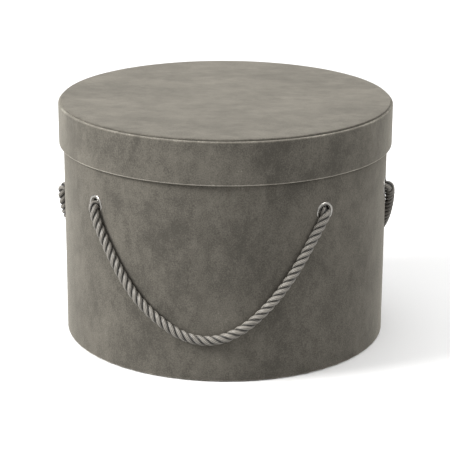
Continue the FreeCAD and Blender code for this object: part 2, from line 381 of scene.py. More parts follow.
def laid_rope(name, line, diameter):
    """A rope of strands laid right-handed round a line. Its UV map runs round and along each strand."""
    rope = rope_sizes()
    radius = diameter / 2 * rope.strand_share
    offset = diameter / 2 - radius
    points = even_points(line, ROPE_STEP)
    step = (points[1] - points[0]).length
    stretch = math.hypot(1.0, math.tau * offset / rope.lay)
    vertices = []
    faces = []
    corners = []
    for strand in range(STRANDS):
        found = strand_faces(len(vertices), len(points), step * stretch / (math.tau * radius))
        vertices.extend(strand_skin(points, strand, radius, offset, rope.lay))
        faces.extend(found[0])
        corners.extend(found[1])
    mesh = bpy.data.meshes.new(name)
    mesh.from_pydata(vertices, [], faces)
    layer = mesh.uv_layers.new(name="strand")
    for loop, corner in zip(layer.data, corners):
        loop.uv = corner
    for polygon in mesh.polygons:
        polygon.use_smooth = len(polygon.vertices) == 4
    return mesh, points


def rounded_corner(before, corner, after, rounding):
    """The points of the arc that rounds a corner between its neighbours, or the corner itself."""
    if rounding == 0:
        return [corner]
    back = (before - corner).normalized()
    onward = (after - corner).normalized()
    half = math.acos(max(-1.0, min(1.0, back.dot(onward)))) / 2
    centre = corner + (back + onward).normalized() * (rounding / math.sin(half))
    start = corner + back * (rounding / math.tan(half)) - centre
    sign = 1 if back.x * onward.y - back.y * onward.x < 0 else -1
    sweep = sign * (math.pi - 2 * half)
    return [centre + Matrix.Rotation(sweep * k / CORNER_STEPS, 2) @ start for k in range(CORNER_STEPS + 1)]


def outline(corners, longest):
    """A closed outline through (radius, height, rounding) corners, its points at most longest apart."""
    count = len(corners)
    places = [Vector(corner[:2]) for corner in corners]
    arcs = []
    for i, corner in enumerate(corners):
        arcs.append(rounded_corner(places[i - 1], places[i], places[(i + 1) % count], corner[2]))
    found = []
    for i, arc in enumerate(arcs):
        found.extend(arc)
        run = arcs[(i + 1) % count][0] - arc[-1]
        pieces = max(1, math.ceil(run.length / longest))
        for k in range(1, pieces):
            found.append(arc[-1] + run * (k / pieces))
    return found


# Node trees


def add(tree, kind, inputs=None, **settings):
    """Adds a node with its settings. An input is a value, a socket to link, or a node to link from."""
    node = tree.nodes.new(kind)
    for key, value in settings.items():
        setattr(node, key, value)
    for key, value in (inputs or {}).items():
        source = value.outputs[0] if isinstance(value, bpy.types.Node) else value
        if isinstance(source, bpy.types.NodeSocket):
            tree.links.new(source, node.inputs[key])
        else:
            node.inputs[key].default_value = source
    return node


def geometry_tree(name, inputs):
    """A geometry tree with these named inputs, as (name, kind, default). Returns it and its input sockets."""
    tree = bpy.data.node_groups.new(name, "GeometryNodeTree")
    tree.interface.new_socket("Geometry", in_out="INPUT", socket_type="NodeSocketGeometry")
    for label, kind, default in inputs:
        socket = tree.interface.new_socket(label, in_out="INPUT", socket_type=kind)
        if default is not None:
            socket.default_value = default
    tree.interface.new_socket("Geometry", in_out="OUTPUT", socket_type="NodeSocketGeometry")
    return tree, tree.nodes.new("NodeGroupInput").outputs


def close_tree(tree, geometry, material):
    """Ends a tree in real, painted and smooth geometry."""
    smooth = add(tree, "GeometryNodeSetShadeSmooth", {"Geometry": geometry})
    real = add(tree, "GeometryNodeRealizeInstances", {"Geometry": smooth})
    painted = add(tree, "GeometryNodeSetMaterial", {"Geometry": real, "Material": material})
    add(tree, "NodeGroupOutput", {0: painted})


def grown(mesh, tree, values):
    """The mesh that a tree makes from a mesh, with its inputs set by name."""
    source = bpy.data.objects.new("source", mesh)
    bpy.context.scene.collection.objects.link(source)
    modifier = source.modifiers.new(tree.name, "NODES")
    modifier.node_group = tree
    known = {item.name: item.identifier for item in tree.interface.items_tree if item.in_out == "INPUT"}
    for label, value in values.items():
        modifier[known[label]] = value
    bpy.context.view_layer.update()
    found = bpy.data.meshes.new_from_object(source.evaluated_get(bpy.context.evaluated_depsgraph_get()))
    source.modifiers.remove(modifier)
    bpy.data.objects.remove(source)
    bpy.data.meshes.remove(mesh)
    if not found.polygons:
        raise RuntimeError(tree.name + " made no faces")
    return found


def line_mesh(points, closed):
    """A mesh of edges only, through these points."""
    mesh = bpy.data.meshes.new("outline")
    edges = [(i, i + 1) for i in range(len(points) - 1)]
    if closed:
        edges.append((len(points) - 1, 0))
    mesh.from_pydata(points, edges, [])
    return mesh


def seam_lap(tree, given, arc, side):
    """How far a lapped seam stands out: a slow slope up, then a drop at the cloth's cut edge."""
    start, crest, edge = [
        add(tree, "ShaderNodeMath", {0: given["Lap Width"], 1: share}, operation="MULTIPLY")
        for share in (-0.6, 0.1, 0.4)
    ]
    foot = add(tree, "ShaderNodeMath", {0: edge, 1: 1.9 * MM}, operation="ADD")
    slope = {"Value": arc, "From Min": start, "From Max": crest}
    rise = add(tree, "ShaderNodeMapRange", slope, interpolation_type="SMOOTHSTEP")
    drop = {"Value": arc, "From Min": edge, "From Max": foot, "To Min": 1.0, "To Max": 0.0}
    fall = add(tree, "ShaderNodeMapRange", drop)
    shape = add(tree, "ShaderNodeMath", {0: rise, 1: fall}, operation="MULTIPLY")
    height = add(tree, "ShaderNodeMath", {0: given["Lap Height"], 1: side}, operation="MULTIPLY")
    return add(tree, "ShaderNodeMath", {0: shape, 1: height}, operation="MULTIPLY")


def glue_waves(tree, given, position, showing):
    """How far a glued sheet stands off its board in slow waves, on the sides that show."""
    slow = {"Vector": position, "W": given["Seed"], "Scale": 17.0, "Detail": 2.0}
    waves = add(tree, "ShaderNodeTexNoise", slow, noise_dimensions="4D")
    centred = add(tree, "ShaderNodeMath", {0: waves, 1: 2.0, 2: -1.0}, operation="MULTIPLY_ADD")
    wave = add(tree, "ShaderNodeMath", {0: centred, 1: given["Unevenness"]}, operation="MULTIPLY")
    return add(tree, "ShaderNodeMath", {0: wave, 1: showing}, operation="MULTIPLY")


def under_tucks(tree, given, angle, height, outside):
    """How far the small folds stand down from cloth that is turned under a base."""
    beat = add(tree, "ShaderNodeMath", {0: angle, 1: given["Tucks"]}, operation="MULTIPLY")
    cosine = add(tree, "ShaderNodeMath", {0: beat}, operation="COSINE")
    swell = add(tree, "ShaderNodeMath", {0: cosine, 1: 0.5, 2: 0.5}, operation="MULTIPLY_ADD")
    ridge = add(tree, "ShaderNodeMath", {0: swell, 1: 3.0}, operation="POWER")
    low = add(tree, "ShaderNodeMath", {0: height, 1: given["Tuck Below"]}, operation="LESS_THAN")
    low_outside = add(tree, "ShaderNodeMath", {0: low, 1: outside}, operation="MULTIPLY")
    under = add(tree, "ShaderNodeMath", {0: low, 1: low_outside}, operation="SUBTRACT")
    share = add(tree, "ShaderNodeMath", {0: ridge, 1: under}, operation="MULTIPLY")
    down = add(tree, "ShaderNodeMath", {0: given["Tuck Depth"], 1: -1.0}, operation="MULTIPLY")
    return add(tree, "ShaderNodeMath", {0: share, 1: down}, operation="MULTIPLY")


def turned_sheet_tree():
    """Turns an outline about the box's axis: a glued sheet with a lapped seam at the back."""
    tree, given = geometry_tree("turned_sheet", [
        ("Path Radius", "NodeSocketFloat", 0.15),
        ("Segments", "NodeSocketInt", 540),
        ("Outer Side", "NodeSocketFloat", 1.0),
        ("Inner Side", "NodeSocketFloat", 0.0),
        ("Top Side", "NodeSocketFloat", 1.0),
        ("Lap Width", "NodeSocketFloat", 0.0),
        ("Lap Height", "NodeSocketFloat", 0.0),
        ("Unevenness", "NodeSocketFloat", 0.0),
        ("Tucks", "NodeSocketInt", 0),
        ("Tuck Depth", "NodeSocketFloat", 0.0),
        ("Tuck Below", "NodeSocketFloat", -1.0),
        ("Seed", "NodeSocketFloat", SEED),
        ("Material", "NodeSocketMaterial", None),
    ])
    round_it = {"Resolution": given["Segments"], "Radius": given["Path Radius"]}
    circle = add(tree, "GeometryNodeCurvePrimitiveCircle", round_it)
    upright = add(tree, "GeometryNodeSetCurveNormal", {"Curve": circle}, mode="Z_UP")
    section = add(tree, "GeometryNodeMeshToCurve", {"Mesh": given["Geometry"]})
    swept = add(tree, "GeometryNodeCurveToMesh", {"Curve": upright, "Profile Curve": section})
    welded = add(tree, "GeometryNodeMergeByDistance", {"Geometry": swept, "Distance": 0.01 * MM})

    position = add(tree, "GeometryNodeInputPosition")
    parts = add(tree, "ShaderNodeSeparateXYZ", {"Vector": position}).outputs
    level = add(tree, "ShaderNodeCombineXYZ", {"X": parts["X"], "Y": parts["Y"]})
    radius = add(tree, "ShaderNodeVectorMath", {0: level}, operation="LENGTH").outputs["Value"]
    outward = add(tree, "ShaderNodeVectorMath", {0: level}, operation="NORMALIZE")
    angle = add(tree, "ShaderNodeMath", {0: parts["X"], 1: parts["Y"]}, operation="ARCTAN2")
    arc = add(tree, "ShaderNodeMath", {0: angle, 1: radius}, operation="MULTIPLY")
    outside = add(tree, "ShaderNodeMath", {0: radius, 1: given["Outer Side"]}, operation="GREATER_THAN")
    inside = add(tree, "ShaderNodeMath", {0: radius, 1: given["Inner Side"]}, operation="LESS_THAN")
    above = add(tree, "ShaderNodeMath", {0: parts["Z"], 1: given["Top Side"]}, operation="GREATER_THAN")
    side = add(tree, "ShaderNodeMath", {0: outside, 1: inside}, operation="SUBTRACT")
    upright_sides = add(tree, "ShaderNodeMath", {0: outside, 1: inside}, operation="ADD")
    all_sides = add(tree, "ShaderNodeMath", {0: upright_sides, 1: above}, operation="ADD")
    showing = add(tree, "ShaderNodeMath", {0: all_sides, 1: 1.0}, operation="MINIMUM")

    lap = seam_lap(tree, given, arc, side)
    lap_offset = add(tree, "ShaderNodeVectorMath", {0: outward, "Scale": lap}, operation="SCALE")
    wave = glue_waves(tree, given, position, showing)
    normal = add(tree, "GeometryNodeInputNormal")
    wave_offset = add(tree, "ShaderNodeVectorMath", {0: normal, "Scale": wave}, operation="SCALE")
    tuck = under_tucks(tree, given, angle, parts["Z"], outside)
    tuck_offset = add(tree, "ShaderNodeCombineXYZ", {"Z": tuck})
    lapped = add(tree, "ShaderNodeVectorMath", {0: lap_offset, 1: wave_offset}, operation="ADD")
    moved = add(tree, "ShaderNodeVectorMath", {0: lapped, 1: tuck_offset}, operation="ADD")
    shaped = add(tree, "GeometryNodeSetPosition", {"Geometry": welded, "Offset": moved})
    close_tree(tree, shaped, given["Material"])
    return tree


def swept_ring(tree, radius, half_width, half_depth, height):
    """A ring of oval section, round the radius of its line."""
    path = add(tree, "GeometryNodeCurvePrimitiveCircle", {"Resolution": 72, "Radius": radius})
    upright = add(tree, "GeometryNodeSetCurveNormal", {"Curve": path}, mode="Z_UP")
    oval = add(tree, "GeometryNodeCurvePrimitiveCircle", {"Resolution": 20, "Radius": 1.0})
    scale = add(tree, "ShaderNodeCombineXYZ", {"X": half_width, "Y": half_depth, "Z": 1.0})
    section = add(tree, "GeometryNodeTransform", {"Geometry": oval, "Scale": scale})
    ring = add(tree, "GeometryNodeCurveToMesh", {"Curve": upright, "Profile Curve": section})
    up = add(tree, "ShaderNodeCombineXYZ", {"Z": height})
    return add(tree, "GeometryNodeTransform", {"Geometry": ring, "Translation": up})


def eyelet_tree():
    """Rolled eyelets with a barrel and a flared back, one on each point, facing away from the box's axis."""
    tree, given = geometry_tree("rolled_eyelets", [
        ("Hole Radius", "NodeSocketFloat", 0.0055),
        ("Flange Radius", "NodeSocketFloat", 0.009),
        ("Lip", "NodeSocketFloat", 0.0011),
        ("Rise", "NodeSocketFloat", 0.0008),
        ("Barrel Length", "NodeSocketFloat", 0.0053),
        ("Metal", "NodeSocketFloat", 0.0007),
        ("Material", "NodeSocketMaterial", None),
    ])
    hole = given["Hole Radius"]
    inner = add(tree, "ShaderNodeMath", {0: hole, 1: given["Lip"]}, operation="ADD")
    width = add(tree, "ShaderNodeMath", {0: given["Flange Radius"], 1: inner}, operation="SUBTRACT")
    half_width = add(tree, "ShaderNodeMath", {0: width, 1: 0.5}, operation="MULTIPLY")
    flange_line = add(tree, "ShaderNodeMath", {0: inner, 1: half_width}, operation="ADD")
    flange = swept_ring(tree, flange_line, half_width, given["Rise"], 0.0)

    half_metal = add(tree, "ShaderNodeMath", {0: given["Metal"], 1: 0.5}, operation="MULTIPLY")
    barrel_line = add(tree, "ShaderNodeMath", {0: hole, 1: half_metal}, operation="ADD")
    half_barrel = add(tree, "ShaderNodeMath", {0: given["Barrel Length"], 1: 0.5}, operation="MULTIPLY")
    sunk = add(tree, "ShaderNodeMath", {0: half_barrel, 1: -1.0}, operation="MULTIPLY")
    barrel = swept_ring(tree, barrel_line, half_metal, half_barrel, sunk)

    half_flare = add(tree, "ShaderNodeMath", {0: given["Metal"], 1: 1.5}, operation="MULTIPLY")
    flare_line = add(tree, "ShaderNodeMath", {0: hole, 1: half_flare}, operation="ADD")
    back = add(tree, "ShaderNodeMath", {0: given["Barrel Length"], 1: -0.97}, operation="MULTIPLY")
    flare = swept_ring(tree, flare_line, half_flare, 0.22 * MM, back)

    joined = add(tree, "GeometryNodeJoinGeometry")
    for part in (flange, barrel, flare):
        tree.links.new(part.outputs[0], joined.inputs[0])
    turned = add(tree, "GeometryNodeTransform", {"Geometry": joined, "Rotation": (0, math.pi / 2, 0)})
    position = add(tree, "GeometryNodeInputPosition")
    outward = add(tree, "ShaderNodeVectorMath", {0: position, 1: (1, 1, 0)}, operation="MULTIPLY")
    facing_out = add(
        tree, "FunctionNodeAlignRotationToVector", {"Vector": outward}, axis="X", pivot_axis="Z"
    )
    placed = add(tree, "GeometryNodeInstanceOnPoints", {
        "Points": given["Geometry"], "Instance": turned, "Rotation": facing_out,
    })
    close_tree(tree, placed, given["Material"])
    return tree


def whipping_tree():
    """Thread wound closely round a rope's end, along +Z."""
    tree, given = geometry_tree("wound_thread", [
        ("Rope Radius", "NodeSocketFloat", 0.0047),
        ("Thread Radius", "NodeSocketFloat", 0.0004),
        ("Length", "NodeSocketFloat", 0.007),
        ("Material", "NodeSocketMaterial", None),
    ])
    pitch = add(tree, "ShaderNodeMath", {0: given["Thread Radius"], 1: 2.0}, operation="MULTIPLY")
    turns = add(tree, "ShaderNodeMath", {0: given["Length"], 1: pitch}, operation="DIVIDE")
    bedded = add(tree, "ShaderNodeMath", {0: given["Thread Radius"], 1: 0.7}, operation="MULTIPLY")
    line = add(tree, "ShaderNodeMath", {0: given["Rope Radius"], 1: bedded}, operation="ADD")
    spiral = add(tree, "GeometryNodeCurveSpiral", {
        "Resolution": 30, "Rotations": turns, "Start Radius": line, "End Radius": line,
        "Height": given["Length"],
    })
    round_it = {"Resolution": 8, "Radius": given["Thread Radius"]}
    section = add(tree, "GeometryNodeCurvePrimitiveCircle", round_it)
    thread = add(tree, "GeometryNodeCurveToMesh", {
        "Curve": spiral, "Profile Curve": section, "Fill Caps": True,
    })
    close_tree(tree, thread, given["Material"])
    return tree


# Materials. The scale of a pattern is its waves in a metre.


def new_material(name):
    """An empty material, with its tree and its texture coordinates."""
    material = bpy.data.materials.new(name)
    material.use_nodes = True
    tree = material.node_tree
    tree.nodes.clear()
    return material, tree, add(tree, "ShaderNodeTexCoord").outputs


def finished(material, tree, inputs):
    """Ends a material's tree in its surface shader, with these inputs, and returns the material."""
    shader = add(tree, "ShaderNodeBsdfPrincipled", inputs)
    add(tree, "ShaderNodeOutputMaterial", {"Surface": shader})
    return material


def rgba(colour):
    return (*colour, 1.0)


def two_tone(tree, pattern, low, high, first, second, least=0.0, most=1.0):
    """The first colour, with a share of the second that grows from least to most as a pattern grows."""
    share = add(tree, "ShaderNodeMapRange", {
        "Value": pattern, "From Min": low, "From Max": high, "To Min": least, "To Max": most,
    })
    return add(tree, "ShaderNodeMix", {0: share, 6: first, 7: second}, data_type="RGBA").outputs[2]


def velvet(name, stretch, sheen, folds=()):
    """Short-pile cotton velvet, brushed by hand: dark face on, bright at a low angle, in soft blotches.

    Its blotches are 20 to 40 mm across, drawn out a little along the brushing. Single fibres are 0.02 mm
    wide, too fine to show, so the grain is drawn about 1 mm coarse. Within 1.6 mm of each fold the cloth
    is painted paler, a painted highlight along the folded edge. A fold is (height, strength of that
    highlight).
    """
    finish = finishes()
    material, tree, given = new_material(name)
    at = given["Object"]
    brushing = add(tree, "ShaderNodeMapping", {"Vector": at, "Scale": stretch})
    clouds = add(tree, "ShaderNodeTexNoise", {
        "Vector": brushing, "Scale": 24.0, "Detail": 5.0, "Roughness": 0.62, "Distortion": 0.35,
    })
    mottle = add(tree, "ShaderNodeTexNoise", {
        "Vector": brushing, "Scale": 110.0, "Detail": 4.0, "Roughness": 0.65, "Distortion": 0.3,
    })
    grain = add(tree, "ShaderNodeTexNoise", {"Vector": at, "Scale": 900.0, "Detail": 2.0, "Roughness": 0.6})
    brushed = add(tree, "ShaderNodeMapRange", {"Value": clouds, "From Min": 0.28, "From Max": 0.72})
    for pattern, depth in ((mottle, 0.28), (grain, 0.5)):
        evened = {"Value": pattern, "From Min": 0.3, "From Max": 0.7, "To Min": -depth, "To Max": depth}
        change = add(tree, "ShaderNodeMapRange", evened)
        brushed = add(tree, "ShaderNodeMath", {0: brushed, 1: change}, operation="ADD")
    height = add(tree, "ShaderNodeSeparateXYZ", {"Vector": at}).outputs["Z"]
    # Painted highlight: a band painted paler within 1.6 mm of each fold's height.
    for fold, pale in folds:
        offset = add(tree, "ShaderNodeMath", {0: height, 1: fold}, operation="SUBTRACT")
        away = add(tree, "ShaderNodeMath", {0: offset}, operation="ABSOLUTE")
        narrow = {"Value": away, "From Min": 0.4 * MM, "From Max": 1.6 * MM, "To Min": pale, "To Max": 0.0}
        painted_fold_band = add(tree, "ShaderNodeMapRange", narrow)
        brushed = add(tree, "ShaderNodeMath", {0: brushed, 1: painted_fold_band}, operation="ADD")
    colour = rgba(finish.velvet)
    colour = two_tone(tree, brushed, 0.0, 1.0, colour, rgba(finish.velvet_light))
    # Painted highlight: where the fold bands lift the pattern past 1.2, the colour turns to the pale fold
    # colour.
    colour = two_tone(tree, brushed, 1.2, 2.4, colour, rgba(finish.velvet_fold_highlight))
    before = {}
    for pattern, depth, strength in ((clouds, 0.5, 0.5), (mottle, 0.3, 0.7), (grain, 0.2, 0.9)):
        relief = {"Height": pattern, "Distance": depth * MM, "Strength": strength, **before}
        before = {"Normal": add(tree, "ShaderNodeBump", relief)}
    return finished(material, tree, {
        "Base Color": colour, **before, "Roughness": 0.95, "Specular IOR Level": 0.15,
        "Sheen Weight": sheen, "Sheen Roughness": 0.38, "Sheen Tint": rgba(finish.velvet_sheen),
    })


def rope_yarn(name):
    """Twisted rayon-faced yarn: satiny, with painted highlights in fine lines along each strand's yarns,
    painted shade between the yarns and painted shade darkening each strand into the grooves between strands.

    A strand has 10 yarns, 1.3 mm apart, and they turn slowly round it. Its crown is at 0.5 of the way round.
    The fibres' pattern is laid out by yarn across the strand, and by the strand's girth along it.
    """
    finish = finishes()
    material, tree, given = new_material(name)
    parts = add(tree, "ShaderNodeSeparateXYZ", {"Vector": given["UV"]}).outputs
    yarns = add(tree, "ShaderNodeMath", {0: parts["X"], 1: 10.0}, operation="MULTIPLY")
    lean = add(tree, "ShaderNodeMath", {0: parts["Y"], 1: 2.6, 2: yarns}, operation="MULTIPLY_ADD")
    turned = add(tree, "ShaderNodeMath", {0: lean, 1: math.tau}, operation="MULTIPLY")
    crests = add(tree, "ShaderNodeMath", {0: turned}, operation="COSINE")
    ridge = add(tree, "ShaderNodeMapRange", {"Value": crests, "From Min": -1.0, "From Max": 0.6})
    strand = add(tree, "ShaderNodeCombineXYZ", {"X": lean, "Y": parts["Y"]})
    drawn_out = add(tree, "ShaderNodeMapping", {"Vector": strand, "Scale": (5.0, 2.2, 1.0)})
    fibres = add(tree, "ShaderNodeTexNoise", {
        "Vector": drawn_out, "Scale": 1.0, "Detail": 3.0, "Roughness": 0.65,
    })
    patches = add(tree, "ShaderNodeTexNoise", {
        "Vector": given["Object"], "Scale": 90.0, "Detail": 2.0, "Roughness": 0.55,
    })
    glint, tone, roughness = [
        add(tree, "ShaderNodeMapRange", {
            "Value": pattern, "From Min": 0.3, "From Max": 0.7, "To Min": low, "To Max": high,
        })
        for pattern, low, high in ((fibres, 0.5, 1.15), (patches, -0.08, 0.12), (fibres, 0.36, 0.52))
    ]
    # Painted highlight on the yarn crests and painted shade between the yarns, with a random tone added.
    light = add(tree, "ShaderNodeMath", {0: ridge, 1: glint}, operation="MULTIPLY")
    light = add(tree, "ShaderNodeMath", {0: light, 1: tone}, operation="ADD")
    yarn = two_tone(tree, light, 0.0, 1.0, rgba(finish.rope_shade), rgba(finish.rope))
    # Painted shade: each strand darkens from its crown towards the grooves between the strands.
    offset = add(tree, "ShaderNodeMath", {0: parts["X"], 1: 0.5}, operation="SUBTRACT")
    from_crown = add(tree, "ShaderNodeMath", {0: offset}, operation="ABSOLUTE")
    colour = two_tone(tree, from_crown, 0.11, 0.25, yarn, rgba(finish.rope_groove_shade))
    relief = add(tree, "ShaderNodeBump", {"Height": ridge, "Distance": 0.25 * MM, "Strength": 0.9})
    relief = add(tree, "ShaderNodeBump", {
        "Height": fibres, "Distance": 0.12 * MM, "Strength": 0.8, "Normal": relief,
    })
    return finished(material, tree, {
        "Base Color": colour, "Normal": relief, "Roughness": roughness, "Specular IOR Level": 0.6,
        "Sheen Weight": 0.15, "Sheen Roughness": 0.4,
    })


def waxed_thread(name):
    """Waxed polyester thread: dark, with a dull shine and a slight twist."""
    finish = finishes()
    material, tree, given = new_material(name)
    lint = add(tree, "ShaderNodeTexNoise", {
        "Vector": given["Object"], "Scale": 1800.0, "Detail": 2.0, "Roughness": 0.55,
    })
    dark = tuple(0.6 * c for c in finish.thread)
    colour = two_tone(tree, lint, 0.3, 0.7, rgba(dark), rgba(finish.thread))
    relief = add(tree, "ShaderNodeBump", {"Height": lint, "Distance": 0.1 * MM, "Strength": 0.7})
    return finished(material, tree, {"Base Color": colour, "Normal": relief, "Roughness": 0.5})


def plated_nickel(name):
    """Polished nickel plate on brass: bright and slightly warm, with faint rub marks."""
    finish = finishes()
    material, tree, given = new_material(name)
    drawn_out = add(tree, "ShaderNodeMapping", {"Vector": given["Object"], "Scale": (700.0, 700.0, 160.0)})
    rubs = add(tree, "ShaderNodeTexNoise", {
        "Vector": drawn_out, "Scale": 1.0, "Detail": 3.0, "Roughness": 0.55,
    })
    dull = tuple(0.82 * c for c in finish.nickel)
    colour = two_tone(tree, rubs, 0.35, 0.65, rgba(dull), rgba(finish.nickel))
    roughness = add(tree, "ShaderNodeMapRange", {
        "Value": rubs, "From Min": 0.3, "From Max": 0.7, "To Min": 0.16, "To Max": 0.3,
    })
    relief = add(tree, "ShaderNodeBump", {"Height": rubs, "Distance": 0.03 * MM, "Strength": 0.4})
    return finished(material, tree, {
        "Base Color": colour, "Normal": relief, "Roughness": roughness, "Metallic": 1.0,
    })


def pressed_board(name, colour):
    """Board of pressed paper fibre: matt, with flecks about 1 mm long and a soft mottle."""
    material, tree, given = new_material(name)
    at = given["Object"]
    drawn_out = add(tree, "ShaderNodeMapping", {"Vector": at, "Scale": (900.0, 420.0, 900.0)})
    flecks = add(tree, "ShaderNodeTexNoise", {
        "Vector": drawn_out, "Scale": 1.0, "Detail": 4.0, "Roughness": 0.7,
    })
    mottle = add(tree, "ShaderNodeTexNoise", {"Vector": at, "Scale": 60.0, "Detail": 3.0, "Roughness": 0.55})
    pale = tuple(min(1.0, 1.12 * c) for c in colour)
    dark = tuple(0.72 * c for c in colour)
    ground = two_tone(tree, mottle, 0.3, 0.7, rgba(colour), rgba(pale), least=0.3, most=0.9)
    flecked = two_tone(tree, flecks, 0.6, 0.72, ground, rgba(dark))
    relief = add(tree, "ShaderNodeBump", {"Height": flecks, "Distance": 0.08 * MM, "Strength": 0.6})
    return finished(material, tree, {"Base Color": flecked, "Normal": relief, "Roughness": 0.9})


def linen_paper(name, colour):
    """Embossed paper with a linen pattern: matt, its threads 5 mm apart, as coarse as they need to show."""
    material, tree, given = new_material(name)
    at = given["Object"]
    mapped = add(tree, "ShaderNodeMapping", {"Vector": at, "Scale": (1250.0, 1250.0, 1250.0)})
    parts = add(tree, "ShaderNodeSeparateXYZ", {"Vector": mapped}).outputs
    wander = add(tree, "ShaderNodeTexNoise", {"Vector": at, "Scale": 240.0, "Detail": 2.0, "Roughness": 0.55})
    bend = add(tree, "ShaderNodeMapRange", {
        "Value": wander, "From Min": 0.3, "From Max": 0.7, "To Min": -2.0, "To Max": 2.0,
    })
    weave = -1.0
    for part in ("X", "Z", "Y"):
        bent = add(tree, "ShaderNodeMath", {0: parts[part], 1: bend}, operation="ADD")
        threads = add(tree, "ShaderNodeMath", {0: bent}, operation="SINE")
        weave = add(tree, "ShaderNodeMath", {0: weave, 1: threads}, operation="MAXIMUM")
    mottle = add(tree, "ShaderNodeTexNoise", {"Vector": at, "Scale": 45.0, "Detail": 4.0, "Roughness": 0.55})
    dark = tuple(0.8 * c for c in colour)
    raised = add(tree, "ShaderNodeMapRange", {"Value": weave, "From Min": -0.4, "From Max": 1.0})
    tone = two_tone(tree, mottle, 0.3, 0.7, rgba(dark), rgba(colour), least=0.75)
    # Painted shade: the hollows between the raised threads are painted darker.
    shaded = two_tone(tree, raised, 0.0, 0.6, tone, rgba(dark), least=0.25, most=0.0)
    relief = add(tree, "ShaderNodeBump", {"Height": raised, "Distance": 0.07 * MM, "Strength": 0.7})
    return finished(material, tree, {"Base Color": shaded, "Normal": relief, "Roughness": 0.8})


def studio_paper():
    """Seamless studio paper: matt, with a trace of tooth.

    The camera sees it nearly white. What it throws back on the box is the light of a greyer floor, so
    that the shade under the lid and the ropes stays.
    """
    finish = finishes()
    material, tree, given = new_material("seamless_studio_paper")
    tooth = add(tree, "ShaderNodeTexNoise", {
        "Vector": given["Object"], "Scale": 300.0, "Detail": 2.0, "Roughness": 0.55,
    })
    dark = tuple(0.985 * c for c in finish.floor)
    seen = two_tone(tree, tooth, 0.0, 1.0, rgba(dark), rgba(finish.floor))
    from_camera = add(tree, "ShaderNodeLightPath").outputs["Is Camera Ray"]
    colour = two_tone(tree, from_camera, 0.0, 1.0, rgba(finish.floor_bounce), seen)
    return finished(material, tree, {"Base Color": colour, "Roughness": 0.9, "Specular IOR Level": 0.1})


def shared(make, name, *values):
    """The material of this name, made the first time that it is asked for."""
    return bpy.data.materials.get(name) or make(name, *values)


def wall_velvet():
    box = sizes()
    # Painted highlights along the folded edges at the base and the rim, as (height, strength).
    folds = ((box.base_height, 1.2), (box.rim_height, 1.2))
    return shared(velvet, "cotton_velvet_wall", (1.0, 1.0, 0.72), 0.9, folds)


def lid_velvet():
    box = sizes()
    # Painted highlights along the folded edges at the band's bottom and top, as (height, strength).
    folds = ((box.band_bottom, 2.0), (box.lid_height, 0.8))
    return shared(velvet, "cotton_velvet_lid_band", (1.0, 1.0, 0.72), 0.9, folds)


def top_velvet():
    return shared(velvet, "cotton_velvet_brushed_across", (0.7, 1.0, 1.0), 0.5)


def rope_material():
    return shared(rope_yarn, "rope_twisted_rayon_yarn")


def paint_nodes(material, slot, *names):
    """Gives CAD nodes their material. Its slot argument is not used."""
    for name in names:
        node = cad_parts[name]
        node.data.materials.clear()
        node.data.materials.append(material)


def turned_sheet(corners, path_radius, longest, material, **values):
    """A sheet turned about the box's axis from (radius, height, rounding) corners."""
    tree = bpy.data.node_groups.get("turned_sheet") or turned_sheet_tree()
    points = [(x - path_radius, -y, 0.0) for x, y in outline(corners, longest)]
    known = {name.replace("_", " ").title(): value for name, value in values.items()}
    mesh = grown(line_mesh(points, True), tree, {"Path Radius": path_radius, "Material": material, **known})
    return face_outwards(mesh)


# Operators


class HATBOX_OT_camera(Operator):
    """Sets the camera in front of the box, a little to its right and above it"""

    bl_idname = "hatbox.camera"
    bl_label = "Camera"

    def execute(self, context):
        view = context.scene.hatbox_camera
        camera = bpy.data.cameras.new("camera")
        camera.lens = view.lens
        camera.clip_end = 100
        holder = bpy.data.objects.new("camera", camera)
        context.scene.collection.objects.link(holder)
        rise = math.radians(view.elevation)
        flat = view.distance * math.cos(rise)
        aim = Vector((0, 0, view.aim_height))
        where = place(view.azimuth, view.aim_height + view.distance * math.sin(rise), flat)
        back = (where - aim).normalized()
        right = Vector((0, 0, 1)).cross(back).normalized()
        up = back.cross(right)
        tilt = math.radians(view.roll)
        raised = right * math.cos(tilt) + up * math.sin(tilt)
        turned = Matrix((raised, back.cross(raised), back)).transposed()
        holder.matrix_world = Matrix.Translation(where) @ turned.to_4x4()
        context.scene.camera = holder
        return {"FINISHED"}


def handle_points(route, places):
    """The control points of a rope: through one knot and eyelet, along its route, and through the others."""
    ends = []
    for (_, first_height), name in zip((route[0], route[-1]), places):
        azimuth, middle = EYELETS[name]
        drop = first_height - middle
        ends.append([place(azimuth, middle + drop * share, distance) for distance, share in THROUGH_EYELET])
    radii = [*TURN_RADII, *[ROPE_PATH_RADIUS] * (len(route) - 4), *reversed(TURN_RADII)]
    middle = [place(*point, radius) for point, radius in zip(route, radii)]
    return ends[0] + middle + ends[1][::-1]


def hang_rope(name, route, node, places):
    """A handle laid along its route through two eyelets, as one piece that hides its CAD node and stubs."""
    rope = rope_sizes()
    line = spline_points(handle_points(route, places))
    mesh, path = laid_rope(name, line, rope.diameter)
    piece = new_piece(name, mesh, rope_material())
    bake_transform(piece)
    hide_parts(node, *["rope_stub_" + end for end in places])


class HATBOX_OT_ropes(Operator):
    """Hangs the front handle and the longer one that goes round the back"""

    bl_idname = "hatbox.ropes"
    bl_label = "Rope Handles"

    def execute(self, context):
        hang_rope(
            "front_rope_cord", FRONT_ROUTE, "front_rope",
            ("front_left", "front_right"),
        )
        hang_rope(
            "back_rope_cord", BACK_ROUTE, "back_rope",
            ("side_right", "side_left"),
        )
        return {"FINISHED"}


